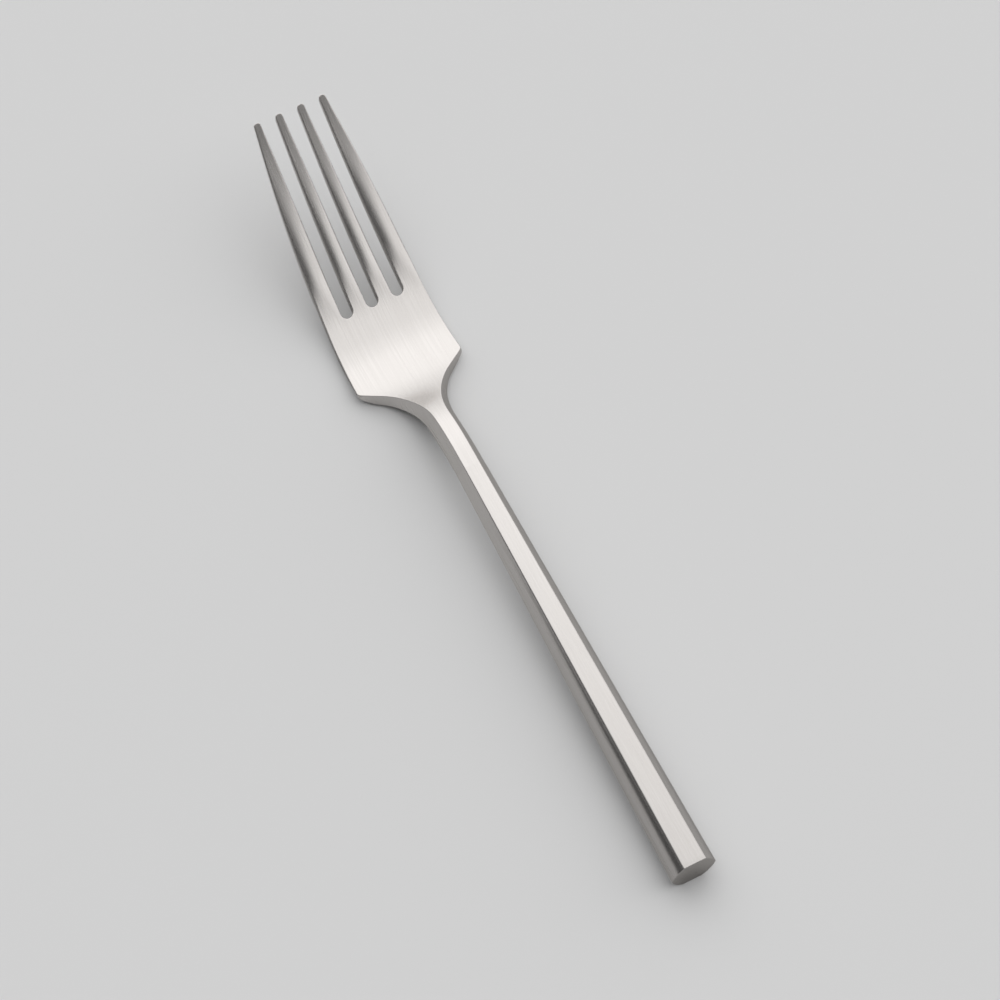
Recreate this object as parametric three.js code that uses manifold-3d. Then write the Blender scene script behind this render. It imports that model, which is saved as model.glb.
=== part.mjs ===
// A four-tine salad fork with a hollow six-sided handle, lying on its back on a table.
// Millimetres. +X runs from the handle's end to the tines, +Z is up from the table, and
// Y = 0 is the plane of symmetry. The origin is on the table, halfway along the fork.

import * as THREE from 'three';
import { mergeVertices } from 'three/addons/utils/BufferGeometryUtils.js';
import Module from 'manifold-3d';

const wasm = await Module();
wasm.setup();

const { degToRad, lerp } = THREE.MathUtils;

// Overall length, from the end cap's face to the tips of the tines
const forkLength = 180;

// Handle: a tapered hexagonal case with a flat on top, measured across its flats
const endAcrossFlats = 8.8;
const mouthAcrossFlats = 5.8;
const shellWall = 0.7;
const capThickness = 1.6;
const spigotLength = 6;
const spigotClearance = 0.15;

// Tang of the head, and the filler that grips it inside the handle
const tangLength = 18;
const tangRootWidth = 2.1;
const tangTipWidth = 1.5;
const tangOverlap = 1;
const fillerClearance = 0.15;
const fillerEndGap = 0.3;

// Head seen from above, with setbacks measured back from the tips along X
const headWidth = 24.6;
const rootWidth = 23.1;
const tipSpan = 16.6;
const outerBow = 0.68;
const tineLength = 40;
const shoulderSetback = 56.2;
const shoulderAngle = degToRad(32.7);
const shoulderFillet = 13.5;
const slotRootWidth = 2.7;
const slotTipWidth = 3.56;
const slotBow = 0.2;
const slotRootPitch = 5.95;
const slotTipPitch = 5.1;

// Head seen from the side, measured on its top face
const neckHeight = 10.85;
const neckStraight = 5;
const neckRadius = 25;
const palmRadius = 27;
const bellySetback = 50.2;
const tineAngle = degToRad(25);
const tineRadius = 400;

// Thickness of the head, square to its top face, and the flat that it rests on
const palmThickness = 2.25;
const rootThickness = 1.8;
const tipThickness = 1.05;
const bellyLand = 6;

// Lower edges of the head: the bevel's width and the share of the thickness that it takes
const underBevel = 0.5;
const bevelShare = 0.15;

// How quickly the neck's six-sided section turns into the flat palm
const flarePower = 1.5;
const waistPower = 3;

// Longest step between two sections of the head, and the steps along each curve of a slot
const sectionStep = 2;
const slotArcSteps = 10;

// Places along X
const tipX = forkLength / 2;
const endX = -forkLength / 2;
const capX = endX + capThickness;
const rootX = tipX - tineLength;
const bellyX = tipX - bellySetback;
const landX = bellyX - bellyLand;
const cornerX = tipX - shoulderSetback;

// The top face drops from the neck to the palm along two arcs that meet at the ramp's angle.
const rampAngle = Math.acos(1 - (neckHeight - palmThickness) / (neckRadius + palmRadius));
const rampX = bellyX - palmRadius * Math.sin(rampAngle);
const bendX = rampX - neckRadius * Math.sin(rampAngle);
const mouthX = bendX - neckStraight;

// The tines leave the palm's arc at the tine angle and curl up on a wide arc of their own.
const tineBendX = bellyX + palmRadius * Math.sin(tineAngle);
const tineBendZ = palmThickness + palmRadius * (1 - Math.cos(tineAngle));

// Hexagon sizes
const flatsToSide = 1 / Math.sqrt(3);
const insetToSide = 2 / Math.sqrt(3);
const endSide = endAcrossFlats * flatsToSide;
const mouthSide = mouthAcrossFlats * flatsToSide;
const neckHalf = mouthSide / 2;
const mouthBottomZ = neckHeight - mouthAcrossFlats;

// The shoulder's fillet runs from the neck's straight edge to the straight shoulder.
const filletY = neckHalf + shoulderFillet;
const filletX = cornerX - (headWidth / 2 - filletY) * Math.tan(shoulderAngle)
  - shoulderFillet / Math.cos(shoulderAngle);
const filletEndX = filletX + shoulderFillet * Math.cos(shoulderAngle);

// Arcs of the top face in order along X: each holds from its start to the next one's start.
const topArcs = [
  { startX: bendX, centreX: bendX, centreZ: neckHeight - neckRadius, radius: neckRadius, side: 1 },
  { startX: rampX, centreX: bellyX, centreZ: palmThickness + palmRadius, radius: palmRadius, side: -1 },
  {
    startX: tineBendX,
    centreX: tineBendX - tineRadius * Math.sin(tineAngle),
    centreZ: tineBendZ + tineRadius * Math.cos(tineAngle),
    radius: tineRadius,
    side: -1,
  },
];

// Height of the head's top face, and the cosine of its slope
function topFace(x) {
  const arc = topArcs.findLast(({ startX }) => x >= startX);
  if (!arc) return { height: neckHeight, cosine: 1 };
  const rise = Math.sqrt(arc.radius ** 2 - (x - arc.centreX) ** 2);
  return { height: arc.centreZ + arc.side * rise, cosine: rise / arc.radius };
}

// Height of the head's underside: a smooth run down from the neck, the flat, then the tines
function undersideHeight(x) {
  if (x < landX) return mouthBottomZ * (1 - THREE.MathUtils.smoothstep(x, mouthX, landX));
  if (x <= bellyX) return 0;
  const { height, cosine } = topFace(x);
  const thickness = x < rootX
    ? lerp(palmThickness, rootThickness, (x - bellyX) / (rootX - bellyX))
    : lerp(rootThickness, tipThickness, (x - rootX) / tineLength);
  return height - thickness / cosine;
}

// Half the width of the head's top face
function topHalfWidth(x) {
  if (x < filletX) return neckHalf;
  if (x < filletEndX) return filletY - Math.sqrt(shoulderFillet ** 2 - (x - filletX) ** 2);
  if (x < cornerX) return headWidth / 2 - (cornerX - x) / Math.tan(shoulderAngle);
  if (x < rootX) return lerp(headWidth, rootWidth, (x - cornerX) / (rootX - cornerX)) / 2;
  const along = (x - rootX) / tineLength;
  return lerp(rootWidth, tipSpan, along) / 2 + outerBow * 4 * along * (1 - along);
}

// Points (y, z) become a section of a loft at the given x.
function sectionAt(x, points) {
  return points.map(([y, z]) => new THREE.Vector3(x, y, z));
}

// Section of the head: a hexagon at the neck, whose waist spreads into the palm's side walls
function headSection(x) {
  const top = topFace(x).height;
  const bottom = undersideHeight(x);
  const half = topHalfWidth(x);
  const spread = x < cornerX ? (half - neckHalf) / (headWidth / 2 - neckHalf) : 1;
  const waistHalf = half + neckHalf * (1 - spread) ** flarePower;
  const waistShare = lerp(bevelShare, 1 / 2, (1 - spread) ** waistPower);
  const waist = lerp(bottom, top, waistShare);
  const bottomHalf = half - underBevel * spread;
  return sectionAt(x, [
    [waistHalf, waist], [half, top], [-half, top],
    [-waistHalf, waist], [-bottomHalf, bottom], [bottomHalf, bottom],
  ]);
}

// Corners (y, z) of the handle's hexagon at x, drawn in from its flats by an inset
function handleHexagon(x, inset) {
  const along = (x - endX) / (mouthX - endX);
  const side = lerp(endSide, mouthSide, along) - inset * insetToSide;
  const centreZ = handleCentre(x);
  return Array.from({ length: 6 }, (_, corner) => {
    const angle = corner * Math.PI / 3;
    return [side * Math.cos(angle), centreZ + side * Math.sin(angle)];
  });
}

// Height of the handle's centre line
function handleCentre(x) {
  return lerp(endAcrossFlats / 2, neckHeight - mouthAcrossFlats / 2, (x - endX) / (mouthX - endX));
}

// Closed solid through sections with equal numbers of points, from low x to high x
function loft(sections) {
  const count = sections[0].length;
  const positions = sections.flat().flatMap((point) => point.toArray());
  const contour = sections[0].map(({ y, z }) => new THREE.Vector2(y, z));
  const lid = THREE.ShapeUtils.triangulateShape(contour, []);
  const last = (sections.length - 1) * count;
  const index = lid.flatMap(([a, b, c]) => [c, b, a, last + a, last + b, last + c]);
  for (let start = 0; start < last; start += count) {
    for (let point = 0; point < count; point += 1) {
      const a = start + point;
      const b = start + (point + 1) % count;
      index.push(a, b, a + count, b, b + count, a + count);
    }
  }
  const geometry = new THREE.BufferGeometry();
  geometry.setAttribute('position', new THREE.Float32BufferAttribute(positions, 3));
  geometry.setIndex(index);
  return geometry;
}

// Handle section lofted straight between two places, with the same inset all along
function handleLoft(fromX, toX, inset) {
  return loft([fromX, toX].map((x) => sectionAt(x, handleHexagon(x, inset))));
}

function toSolid(geometry) {
  const bare = geometry.clone();
  bare.deleteAttribute('normal');
  bare.deleteAttribute('uv');
  const merged = mergeVertices(bare);
  return new wasm.Manifold(new wasm.Mesh({
    numProp: 3,
    vertProperties: new Float32Array(merged.attributes.position.array),
    triVerts: new Uint32Array(merged.index.array),
  }));
}

function fromSolid(solid) {
  const { vertProperties, triVerts } = solid.getMesh();
  const geometry = new THREE.BufferGeometry();
  geometry.setAttribute('position', new THREE.BufferAttribute(vertProperties, 3));
  geometry.setIndex(new THREE.BufferAttribute(triVerts, 1));
  return geometry;
}

// Places for the head's sections: every place where its shape changes, with even steps between
function headStations() {
  const breaks = [
    mouthX, bendX, filletX, rampX, filletEndX, cornerX, landX, bellyX, rootX, tineBendX, tipX,
  ].sort((a, b) => a - b);
  const stations = [breaks[0]];
  breaks.slice(1).forEach((next) => {
    const from = stations.at(-1);
    const steps = Math.ceil((next - from) / sectionStep);
    for (let step = 1; step <= steps; step += 1) stations.push(lerp(from, next, step / steps));
  });
  return stations;
}

// Cutter for the gap between two tines, with a round end at the root and sides that bow in a little.
// Place -1, 0 or 1 counts across the head.
function slotCutter(place) {
  const radius = slotRootWidth / 2;
  const arcX = rootX + radius;
  const arcY = place * slotRootPitch;
  const past = 1 + radius / (tipX - arcX);
  const outX = lerp(arcX, tipX, past);
  const outY = place * lerp(slotRootPitch, slotTipPitch, past);
  const outHalf = lerp(slotRootWidth, slotTipWidth, past) / 2;
  const midX = (arcX + outX) / 2;
  const midY = (arcY + outY) / 2;
  const midHalf = (radius + outHalf) / 2 - 2 * slotBow;
  const shape = new THREE.Shape();
  shape.absarc(arcX, arcY, radius, Math.PI / 2, Math.PI * 3 / 2, false);
  shape.quadraticCurveTo(midX, midY - midHalf, outX, outY - outHalf);
  shape.lineTo(outX, outY + outHalf);
  shape.quadraticCurveTo(midX, midY + midHalf, arcX, arcY + radius);
  const geometry = new THREE.ExtrudeGeometry(shape, {
    depth: topFace(tipX).height + 2 * palmThickness,
    bevelEnabled: false,
    curveSegments: slotArcSteps,
  });
  return geometry.translate(0, 0, -palmThickness);
}

// Square bar along the handle's centre line, from the tang's tip to inside the neck
function tangBar(clearance, innerX) {
  const tangTipX = mouthX - tangLength - clearance;
  return loft([[tangTipX, tangTipWidth], [innerX, tangRootWidth]].map(([x, width]) => {
    const half = width / 2 + clearance;
    const z = handleCentre(x);
    return sectionAt(x, [[half, z - half], [half, z + half], [-half, z + half], [-half, z - half]]);
  }));
}

// Tines, palm, shoulders and neck in one forging, with the tang behind
function forkHead() {
  let solid = toSolid(loft(headStations().map(headSection)));
  for (const place of [-1, 0, 1]) solid = solid.subtract(toSolid(slotCutter(place)));
  return fromSolid(solid.add(toSolid(tangBar(0, mouthX + tangOverlap))));
}

// Half of the handle's case, split along the hexagon's side corners. Half 1 is the upper, -1 the lower.
function handleShell(half) {
  const corners = half > 0 ? [0, 1, 2, 3] : [3, 4, 5, 0];
  return loft([capX, mouthX].map((x) => {
    const outer = handleHexagon(x, 0);
    const inner = handleHexagon(x, shellWall);
    return sectionAt(x, [
      ...corners.map((corner) => outer[corner]),
      ...corners.toReversed().map((corner) => inner[corner]),
    ]);
  }));
}

// Plate that closes the handle's end, with a spigot inside the case
function endCap() {
  const plate = toSolid(handleLoft(endX, capX, 0));
  const middleX = (endX + capX) / 2;
  const spigot = toSolid(handleLoft(middleX, capX + spigotLength, shellWall + spigotClearance));
  return fromSolid(plate.add(spigot));
}

// Set cement that fills the case round the tang
function handleFiller() {
  const fromX = capX + spigotLength + fillerEndGap;
  const core = toSolid(handleLoft(fromX, mouthX - fillerEndGap, shellWall + fillerClearance));
  return fromSolid(core.subtract(toSolid(tangBar(fillerClearance, mouthX + tangOverlap))));
}

const brushedSteel = { color: 0xc9c4be, metalness: 1, roughness: 0.36 };
const setCement = { color: 0x8d857a, metalness: 0, roughness: 0.9 };

function part(name, geometry, finish) {
  geometry.computeVertexNormals();
  const mesh = new THREE.Mesh(geometry, new THREE.MeshStandardMaterial({ ...finish, flatShading: true }));
  mesh.name = name;
  return mesh;
}

const saladFork = new THREE.Group();
saladFork.add(
  part('fork_head', forkHead(), brushedSteel),
  part('handle_upper_shell', handleShell(1), brushedSteel),
  part('handle_lower_shell', handleShell(-1), brushedSteel),
  part('handle_end_cap', endCap(), brushedSteel),
  part('handle_filler', handleFiller(), setCement),
);

export default saladFork;
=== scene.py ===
"""A brushed steel salad fork with a hollow hexagonal handle, lying on its back on a pale table."""

import logging
from dataclasses import dataclass
from enum import Enum

import bpy
import numpy as np
from mathutils import Matrix, Vector


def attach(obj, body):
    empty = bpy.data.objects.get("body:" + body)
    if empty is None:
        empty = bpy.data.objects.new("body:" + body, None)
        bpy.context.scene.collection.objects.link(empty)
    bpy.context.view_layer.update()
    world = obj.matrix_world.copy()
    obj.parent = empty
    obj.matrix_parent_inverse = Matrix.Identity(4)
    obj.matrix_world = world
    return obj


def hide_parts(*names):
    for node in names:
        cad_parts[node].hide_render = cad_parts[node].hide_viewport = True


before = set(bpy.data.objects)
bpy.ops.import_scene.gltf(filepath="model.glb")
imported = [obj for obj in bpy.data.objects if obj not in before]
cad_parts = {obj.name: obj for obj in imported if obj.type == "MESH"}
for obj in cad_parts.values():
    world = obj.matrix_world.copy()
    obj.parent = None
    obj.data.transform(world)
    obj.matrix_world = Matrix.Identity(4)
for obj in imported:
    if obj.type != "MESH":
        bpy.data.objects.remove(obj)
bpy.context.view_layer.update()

MM = 0.001
BODY = "root"
FACETS = 6
CREASE_ANGLE = np.radians(34.0)
WELD_DIGITS = 5
LOG = logging.getLogger("salad_fork")

Array = np.ndarray
Faces = list[list[int]]
Triple = tuple[float, float, float]
Pair = tuple[float, float]


class Side(Enum):
    """Halves of the handle's case, by the first of their three facets."""

    UPPER = 0
    LOWER = 3


class Slot(Enum):
    """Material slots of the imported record."""

    HEAD = "head_steel"
    HANDLE = "handle_steel"
    CAP = "cap_steel"


def smoothstep(low: float, high: float, value: Array) -> Array:
    """Cubic ease from 0 at low to 1 at high: 3t^2 - 2t^3 with t clipped to 0..1."""
    t = np.clip((value - low) / (high - low), 0, 1)
    return t * t * (3 - 2 * t)


def smooth_min(first: Array, second: Array, reach: float) -> Array:
    """Lesser of two values, with the kink between them rounded off over the given reach."""
    share = np.clip(0.5 + 0.5 * (second - first) / reach, 0, 1)
    return second + (first - second) * share - reach * share * (1 - share)


def quads_of_grid(rows: int, columns: int, start: int = 0, wrap: bool = False) -> Array:
    """Corner indices of a grid's quads.

    Args:
        rows: Points along the first parameter.
        columns: Points along the second parameter.
        start: Index of the grid's first point.
        wrap: Whether the last column joins the first one.

    Returns:
        Array of quads, turned so that first x second parameter is the outward side.
    """
    index = start + np.arange(rows * columns).reshape(rows, columns)
    if wrap:
        index = np.concatenate([index, index[:, :1]], axis=1)
    a, b = index[:-1, :-1], index[1:, :-1]
    c, d = index[1:, 1:], index[:-1, 1:]
    return np.stack([a, b, c, d], axis=-1).reshape(-1, 4)


def welded(points: Array, quads: Array) -> tuple[Array, Faces]:
    """Joins equal points and drops the faces that this closes up.

    Args:
        points: Points in millimetres, one row each.
        quads: Corner indices, four to a row.

    Returns:
        The distinct points, and faces with three or four different corners.
    """
    keys = np.round(points, WELD_DIGITS)
    _, first, place = np.unique(keys, axis=0, return_index=True, return_inverse=True)
    corners = place.reshape(-1)[quads]
    repeated = corners == np.roll(corners, -1, axis=1)
    whole = corners[~repeated.any(axis=1)]
    single = repeated.sum(axis=1) == 1
    folded = corners[single]
    triangles = folded[~repeated[single]].reshape(-1, 3)
    crossed = (whole[:, 0] == whole[:, 2]) | (whole[:, 1] == whole[:, 3])
    return points[first], whole[~crossed].tolist() + triangles.tolist()


def make_piece(name: str, points: Array, faces: Faces) -> bpy.types.Object:
    """Makes a mesh piece in the part's frame, with edges past the crease angle shaded sharp.

    Args:
        name: The piece's name.
        points: Points in millimetres.
        faces: Corner indices of the faces, outward side out.

    Returns:
        The new object, linked to the scene, at the origin.
    """
    mesh = bpy.data.meshes.new(name)
    mesh.from_pydata(points * MM, [], faces)
    mesh.validate()
    mesh.shade_smooth()
    mesh.set_sharp_from_angle(angle=CREASE_ANGLE)
    piece = bpy.data.objects.new(name, mesh)
    bpy.context.scene.collection.objects.link(piece)
    return piece


def dress(piece: bpy.types.Object, material: bpy.types.Material, slot: Slot, *nodes: str) -> None:
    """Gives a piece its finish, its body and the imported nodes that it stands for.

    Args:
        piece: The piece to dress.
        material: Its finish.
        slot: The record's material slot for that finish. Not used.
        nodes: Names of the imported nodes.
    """
    piece.data.materials.clear()
    piece.data.materials.append(material)
    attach(piece, BODY)
    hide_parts(*nodes)
    LOG.info("%s: %d faces", piece.name, len(piece.data.polygons))


class NodeTree:
    """A small hand for laying out shader nodes."""

    def __init__(self, tree: bpy.types.NodeTree) -> None:
        """Takes the tree that the nodes go into."""
        self.tree = tree

    @classmethod
    def emptied(cls, owner: bpy.types.Material | bpy.types.World) -> "NodeTree":
        """Switches an owner to nodes and clears its tree.

        Args:
            owner: A new material or world.

        Returns:
            The hand for its tree.
        """
        owner.use_nodes = True
        owner.node_tree.nodes.clear()
        return cls(owner.node_tree)

    def add(self, kind: str, settings: dict | None = None, **inputs: object) -> bpy.types.Node:
        """Adds a node, sets its properties, and sets or links its inputs.

        Args:
            kind: Blender's name for the node type.
            settings: Properties of the node.
            inputs: Input names with spaces as underscores, or an underscore and the input's number,
                and values or sockets to link.

        Returns:
            The new node.
        """
        node = self.tree.nodes.new(kind)
        for key, value in (settings or {}).items():
            setattr(node, key, value)
        for key, value in inputs.items():
            self.feed(node.inputs[int(key[1:]) if key[1:].isdigit() else key.replace("_", " ")], value)
        return node

    def feed(self, socket: bpy.types.NodeSocket, value: object) -> None:
        """Links a socket, or sets a plain value on it.

        Args:
            socket: The input.
            value: A socket to link or a plain value.
        """
        if isinstance(value, bpy.types.NodeSocket):
            self.tree.links.new(value, socket)
        else:
            socket.default_value = value

    def math(self, operation: str, first: object, second: object) -> bpy.types.NodeSocket:
        """Adds a Math node and returns its result."""
        return self.add("ShaderNodeMath", {"operation": operation}, _0=first, _1=second).outputs[0]

    def weighted(self, first: object, second: object, share: float) -> bpy.types.NodeSocket:
        """Adds the first value times the share to the second times the rest of one, and returns the sum."""
        return self.math("ADD", self.math("MULTIPLY", first, share), self.math("MULTIPLY", second, 1 - share))

    def noise(self, place: object, scale: object, detail: float, roughness: float) -> bpy.types.NodeSocket:
        """Adds a noise texture and returns its value, from 0 to 1.

        Args:
            place: Where the noise is read.
            scale: Its scale.
            detail: Its number of finer layers.
            roughness: The strength of each finer layer.

        Returns:
            The value's socket.
        """
        settings = {"noise_dimensions": "3D"}
        node = self.add(
            "ShaderNodeTexNoise", settings, Vector=place, Scale=scale, Detail=detail, Roughness=roughness)
        return node.outputs["Fac"]

    def blend(self, factor: bpy.types.NodeSocket, first: object, second: object) -> bpy.types.NodeSocket:
        """Adds a Mix node for colours.

        Args:
            factor: 0 for the first colour and 1 for the second.
            first: A colour or socket.
            second: A colour or socket.

        Returns:
            The mixed colour's socket.
        """
        node = self.add("ShaderNodeMix", {"data_type": "RGBA"}, Factor=factor)
        self.feed(node.inputs["A"], first)
        self.feed(node.inputs["B"], second)
        return node.outputs["Result"]


class BrushedGrain:
    """Node group for satin brushing: fine scratches along X, softer cloudy wear, and a height for a bump."""

    NAME = "brushed_grain"
    INPUTS = {"Lines": 5600.0, "Stretch": 0.006, "Rise": 1.0, "Cloud": 90.0, "Depth": 0.5}
    OUTPUTS = ("Scratch", "Wear", "Height")
    FINE_SHARE = 0.85
    BROAD_SCALE = 0.22

    @classmethod
    def group(cls) -> bpy.types.NodeTree:
        """Makes the group on first use.

        Noise stretched along X gives the scratches: mostly fine lines, with some broader ones.

        Returns:
            The shader node group. Scratch and Wear run from 0 to 1 and Height is in bump units.
        """
        if cls.NAME in bpy.data.node_groups:
            return bpy.data.node_groups[cls.NAME]
        tree = bpy.data.node_groups.new(cls.NAME, "ShaderNodeTree")
        for name, value in cls.INPUTS.items():
            socket = tree.interface.new_socket(name, in_out="INPUT", socket_type="NodeSocketFloat")
            socket.default_value = value
        for name in cls.OUTPUTS:
            tree.interface.new_socket(name, in_out="OUTPUT", socket_type="NodeSocketFloat")
        nodes = NodeTree(tree)
        given = nodes.add("NodeGroupInput").outputs
        place = nodes.add("ShaderNodeTexCoord").outputs["Object"]
        stretch = nodes.add("ShaderNodeCombineXYZ", X=given["Stretch"], Y=1.0, Z=given["Rise"]).outputs[0]
        along = nodes.add("ShaderNodeVectorMath", {"operation": "MULTIPLY"}, _0=place, _1=stretch).outputs[0]
        broad_lines = nodes.math("MULTIPLY", given["Lines"], cls.BROAD_SCALE)
        fine = nodes.noise(along, given["Lines"], detail=3.0, roughness=0.65)
        broad = nodes.noise(along, broad_lines, detail=2.0, roughness=0.5)
        cloud = nodes.noise(place, given["Cloud"], detail=2.0, roughness=0.5)
        scratch = nodes.weighted(fine, broad, cls.FINE_SHARE)
        height = nodes.math("MULTIPLY", scratch, given["Depth"])
        nodes.add("NodeGroupOutput", Scratch=scratch, Wear=cloud, Height=height)
        return tree


@dataclass(frozen=True)
class BrushedSteel:
    """Satin stainless steel, brushed along the fork.

    Attributes:
        name: The material's name.
        dark: Colour in the scratches.
        light: Colour of the polished ridges.
        smooth: Roughness of the polished ridges.
        rough: Roughness in the scratches.
        wear: Share of the cloudy wear in the roughness.
        wear_run: Values of scratches and wear that give the rough and the smooth end.
        depth: Height of the brushing in the bump.
        bump_strength: Strength of the bump.
        bump_distance: Reach of the bump in metres.
        end_shade: How much of the colour is left at the handle's end: painted shade, the steel drawn darker
            towards the handle's end.
        shade_run: Places along X between which the painted shade fades out and the colour comes back, in
            metres.
        rise: How fast the lines change with height: little on the head, so that they run straight up it.
        edge: Tint of the glancing reflection.
    """

    name: str
    dark: Triple = (0.465, 0.444, 0.427)
    light: Triple = (0.561, 0.54, 0.524)
    smooth: float = 0.195
    rough: float = 0.295
    wear: float = 0.08
    wear_run: Pair = (0.3, 0.7)
    depth: float = 0.5
    bump_strength: float = 0.08
    bump_distance: float = 0.00003
    end_shade: float = 0.86
    shade_run: Pair = (-0.09, 0.0)
    rise: float = 1.0
    edge: Triple = (0.6, 0.59, 0.58)

    def material(self) -> bpy.types.Material:
        """Builds the material: the grain drives colour, roughness and a faint bump, and painted shade darkens
        the colour towards the handle's end.

        Returns:
            The material.
        """
        material = bpy.data.materials.new(self.name)
        nodes = NodeTree.emptied(material)
        settings = {"node_tree": BrushedGrain.group()}
        grain = nodes.add("ShaderNodeGroup", settings, Depth=self.depth, Rise=self.rise).outputs
        colour = nodes.blend(grain["Scratch"], (*self.dark, 1), (*self.light, 1))
        place = nodes.add("ShaderNodeSeparateXYZ", Vector=nodes.add("ShaderNodeTexCoord").outputs["Object"])
        # Painted shade: the colour is scaled darker towards the handle's end.
        painted_shade = nodes.add(
            "ShaderNodeMapRange", Value=place.outputs["X"],
            From_Min=self.shade_run[0], From_Max=self.shade_run[1], To_Min=self.end_shade, To_Max=1.0,
        )
        shaded_colour = nodes.add(
            "ShaderNodeVectorMath", {"operation": "SCALE"}, _0=colour, Scale=painted_shade.outputs["Result"])
        rough = nodes.add(
            "ShaderNodeMapRange", Value=nodes.weighted(grain["Wear"], grain["Scratch"], self.wear),
            From_Min=self.wear_run[0], From_Max=self.wear_run[1], To_Min=self.rough, To_Max=self.smooth,
        )
        bump = nodes.add(
            "ShaderNodeBump",
            Strength=self.bump_strength, Distance=self.bump_distance, Height=grain["Height"],
        )
        shader = nodes.add(
            "ShaderNodeBsdfPrincipled", Metallic=1.0, Specular_Tint=(*self.edge, 1),
            Base_Color=shaded_colour.outputs["Vector"], Roughness=rough.outputs["Result"],
            Normal=bump.outputs["Normal"],
        )
        nodes.add("ShaderNodeOutputMaterial", Surface=shader.outputs["BSDF"])
        return material


@dataclass(frozen=True)
class SetCement:
    """Grey cement inside the handle.

    Attributes:
        name: The material's name.
        dark: Colour between the grains of sand.
        light: Colour of the grains.
        grains: Scale of the sand.
        roughness: Roughness all over.
        bump_strength: Strength of the bump.
        bump_distance: Reach of the bump in metres.
    """

    name: str = "set_cement"
    dark: Triple = (0.36, 0.34, 0.31)
    light: Triple = (0.56, 0.53, 0.49)
    grains: float = 2400.0
    roughness: float = 0.9
    bump_strength: float = 0.5
    bump_distance: float = 0.0002

    def material(self) -> bpy.types.Material:
        """Builds the material: sandy speckle in colour and bump.

        Returns:
            The material.
        """
        material = bpy.data.materials.new(self.name)
        nodes = NodeTree.emptied(material)
        place = nodes.add("ShaderNodeTexCoord").outputs["Object"]
        sand = nodes.noise(place, self.grains, detail=4.0, roughness=0.7)
        colour = nodes.blend(sand, (*self.dark, 1), (*self.light, 1))
        bump = nodes.add(
            "ShaderNodeBump", Strength=self.bump_strength, Distance=self.bump_distance, Height=sand)
        shader = nodes.add(
            "ShaderNodeBsdfPrincipled",
            Base_Color=colour, Roughness=self.roughness, Normal=bump.outputs["Normal"],
        )
        nodes.add("ShaderNodeOutputMaterial", Surface=shader.outputs["BSDF"])
        return material


@dataclass(frozen=True)
class ForkSizes:
    """Sizes that the pieces share, in millimetres."""

    fork_length: float = 180.0
    end_across_flats: float = 8.8
    mouth_across_flats: float = 5.8
    neck_height: float = 10.85
    neck_straight: float = 5.0
    neck_radius: float = 25.0
    palm_radius: float = 27.0
    palm_thickness: float = 2.25
    belly_setback: float = 50.2

    @property
    def tip_x(self) -> float:
        """Place of the tines' tips."""
        return self.fork_length / 2

    @property
    def end_x(self) -> float:
        """Place of the end cap's face."""
        return -self.fork_length / 2

    @property
    def belly_x(self) -> float:
        """Place where the palm is lowest."""
        return self.tip_x - self.belly_setback

    @property
    def ramp_angle(self) -> float:
        """Steepest slope between the neck and the palm, where their two arcs meet."""
        drop = self.neck_height - self.palm_thickness
        return float(np.arccos(1 - drop / (self.neck_radius + self.palm_radius)))

    @property
    def ramp_x(self) -> float:
        """Place where the neck's arc meets the palm's arc."""
        return self.belly_x - self.palm_radius * float(np.sin(self.ramp_angle))

    @property
    def bend_x(self) -> float:
        """Place where the neck starts to bend down."""
        return self.ramp_x - self.neck_radius * float(np.sin(self.ramp_angle))

    @property
    def mouth_x(self) -> float:
        """Place where the head meets the handle."""
        return self.bend_x - self.neck_straight

    @property
    def mouth_side(self) -> float:
        """Side of the hexagon at the mouth."""
        return self.mouth_across_flats / float(np.sqrt(3))

    def along_handle(self, x: Array) -> Array:
        """Share of the way from the handle's end to its mouth."""
        return (x - self.end_x) / (self.mouth_x - self.end_x)

    def handle_side(self, x: Array) -> Array:
        """Side of the handle's hexagon, in a straight taper."""
        end_side = self.end_across_flats / np.sqrt(3)
        return end_side + (self.mouth_side - end_side) * self.along_handle(x)

    def handle_apothem(self, x: Array) -> Array:
        """Distance from the handle's centre line to its flats."""
        return self.handle_side(x) * np.sqrt(3) / 2

    def handle_centre(self, x: Array) -> Array:
        """Height of the handle's centre line, straight from the end to the mouth."""
        low, high = self.end_across_flats / 2, self.neck_height - self.mouth_across_flats / 2
        return low + (high - low) * self.along_handle(x)


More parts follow.
